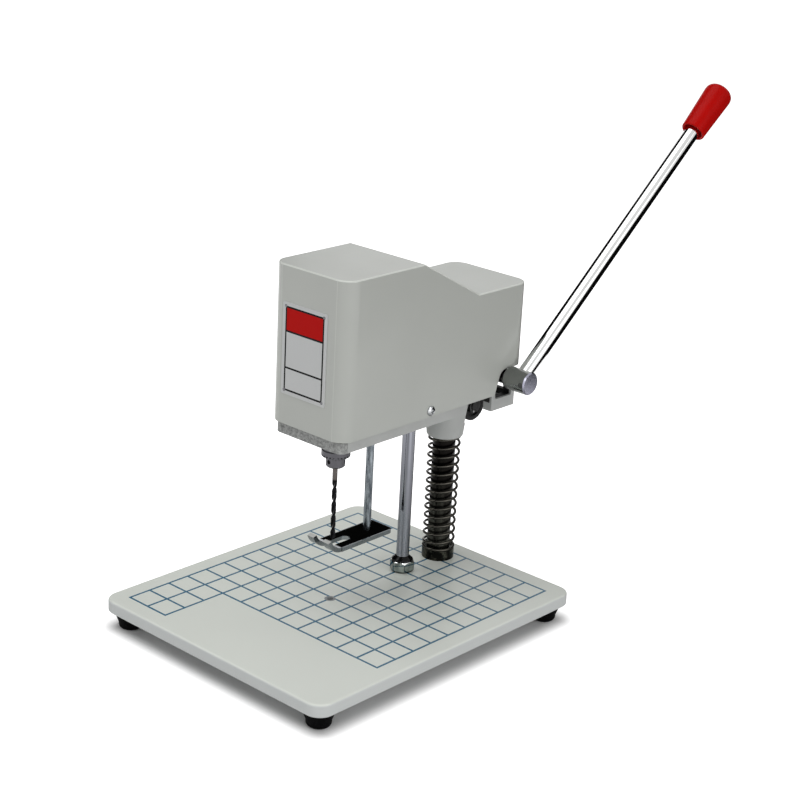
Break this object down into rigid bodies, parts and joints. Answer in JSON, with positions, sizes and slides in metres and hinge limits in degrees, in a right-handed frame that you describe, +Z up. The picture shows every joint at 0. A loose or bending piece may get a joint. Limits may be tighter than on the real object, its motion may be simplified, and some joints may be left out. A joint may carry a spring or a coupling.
{
  "type": "document drilling and binding machine",
  "caption": "Desk-top press with a side lever that lowers a motor head with a chuck, drill and presser foot onto a gridded base plate, for holes through stacks of paper.",
  "frame": {"origin": "on the table top, under the middle of the whole machine's outline, lever included; this lies on the mid-plane, 10.8 mm behind the column's axis, and 119.8 mm behind the middle of the base plate", "axes": "+X to the operator's right, +Y away from the operator, +Z up"},
  "size_m": [0.23, 0.5155, 0.3845],
  "materials": {
    "base_paint": "smooth pale grey baked enamel with a printed blue grid",
    "cover_paint": "grey-green textured enamel on folded sheet steel",
    "casting_grey": "sand-cast iron, painted pale grey on its outer faces",
    "dark_steel": "oil-blackened ground steel bar",
    "black_oxide": "black oxide finish",
    "spring_steel": "black oiled spring wire",
    "bright_steel": "turned and ground bright steel",
    "zinc_steel": "zinc-plated steel",
    "chrome": "polished chromium plate",
    "hub_steel": "blackened turned steel with a bright faced end",
    "bronze": "sintered bronze bush",
    "foot_rubber": "black moulded rubber",
    "black_rubber": "black rubber buffer",
    "grip_red": "glossy red moulded plastic",
    "pad_plastic": "hard grey plastic cutting pad",
    "label_plate": "plain satin aluminium plate",
    "motor_black": "black enamelled motor housing",
    "gland_black": "black nylon cable gland",
    "drill_steel": "blackened high-speed steel"
  },
  "bodies": {
    "base": {"base_plate": "base_paint", "foot_front_left": "foot_rubber", "foot_front_right": "foot_rubber", "foot_rear_left": "foot_rubber", "foot_rear_right": "foot_rubber", "foot_screws": "zinc_steel", "drill_pad": "pad_plastic", "column": "dark_steel", "column_screw": "black_oxide", "column_collar": "black_oxide", "column_stop_ring": "black_oxide", "return_spring": "spring_steel", "guide_rod": "chrome", "guide_rod_nut": "zinc_steel", "guide_rod_collar": "black_rubber"},
    "head": {"head_casting": "casting_grey", "column_bush_lower": "bronze", "column_bush_upper": "bronze", "guide_bush": "bronze", "presser_bush": "bronze", "shaft_bush_left": "bronze", "shaft_bush_right": "bronze", "head_cover": "cover_paint", "cover_screws": "chrome", "label_plate": "label_plate", "label_rivets": "bright_steel", "cable_gland": "gland_black", "motor_body": "motor_black", "motor_screws": "black_oxide", "idler_axle": "bright_steel", "idler_clip": "black_oxide"},
    "spindle_unit": {"spindle": "bright_steel", "chuck_body": "bright_steel", "drill_bit": "drill_steel"},
    "sleeve_unit": {"chuck_sleeve": "bright_steel"},
    "jaw_1": {"chuck_jaw_1": "bright_steel"},
    "jaw_2": {"chuck_jaw_2": "bright_steel"},
    "jaw_3": {"chuck_jaw_3": "bright_steel"},
    "presser_foot": {"presser_plate": "chrome", "presser_rod": "zinc_steel", "presser_ring": "zinc_steel"},
    "idler_unit": {"idler_pinion": "bright_steel", "idler_gear": "bright_steel", "idler_flange": "black_oxide"},
    "lever_unit": {"lever_shaft": "bright_steel", "lever_clip": "black_oxide", "lever_hub": "hub_steel", "lever_set_screw": "black_oxide", "lever_rod": "chrome", "lever_grip": "grip_red", "lever_gear": "bright_steel", "gear_pin": "bright_steel"}
  },
  "joints": [
    {"name": "head_slide", "type": "slide", "parent": "base", "child": "head", "axis": [0, 0, 1], "range_m": [-0.05, 0], "stiffness_N_per_m": 710, "springref_m": 0.08, "deforming": ["return_spring"]},
    {"name": "lever_turn", "type": "hinge", "parent": "head", "child": "lever_unit", "pos_m": [0.05, 0.0152, 0.1785], "axis": [1, 0, 0], "range_deg": [0, 101]},
    {"name": "idler_turn", "type": "hinge", "parent": "head", "child": "idler_unit", "pos_m": [0, 0.0082, 0.14984], "axis": [1, 0, 0], "range_deg": [-249.4, 0]},
    {"name": "presser_slide", "type": "slide", "parent": "head", "child": "presser_foot", "axis": [0, 0, 1], "range_m": [0, 0.0077]},
    {"name": "spindle_spin", "type": "hinge", "parent": "head", "child": "spindle_unit", "pos_m": [0, -0.1323, 0.14], "axis": [0, 0, 1], "continuous": true},
    {"name": "chuck_sleeve_turn", "type": "hinge", "parent": "spindle_unit", "child": "sleeve_unit", "pos_m": [0, -0.1323, 0.145], "axis": [0, 0, 1], "range_deg": [0, 961]},
    {"name": "jaw_1_slide", "type": "slide", "parent": "spindle_unit", "child": "jaw_1", "axis": [0, 0.1392, 0.9903], "range_m": [0, 0.004]},
    {"name": "jaw_2_slide", "type": "slide", "parent": "spindle_unit", "child": "jaw_2", "axis": [-0.1205, -0.0696, 0.9903], "range_m": [0, 0.00401]},
    {"name": "jaw_3_slide", "type": "slide", "parent": "spindle_unit", "child": "jaw_3", "axis": [0.1205, -0.0696, 0.9903], "range_m": [0, 0.00401]}
  ],
  "couplings": [
    {"joint": "lever_turn", "follows": "head_slide", "rad_per_m": -35.197},
    {"joint": "idler_turn", "follows": "head_slide", "rad_per_m": 86.957},
    {"joint": "presser_slide", "follows": "head_slide", "ratio": -0.152},
    {"joint": "jaw_2_slide", "follows": "jaw_1_slide", "ratio": 1},
    {"joint": "jaw_3_slide", "follows": "jaw_1_slide", "ratio": 1},
    {"joint": "chuck_sleeve_turn", "follows": "jaw_1_slide", "rad_per_m": 4188.8}
  ]
}
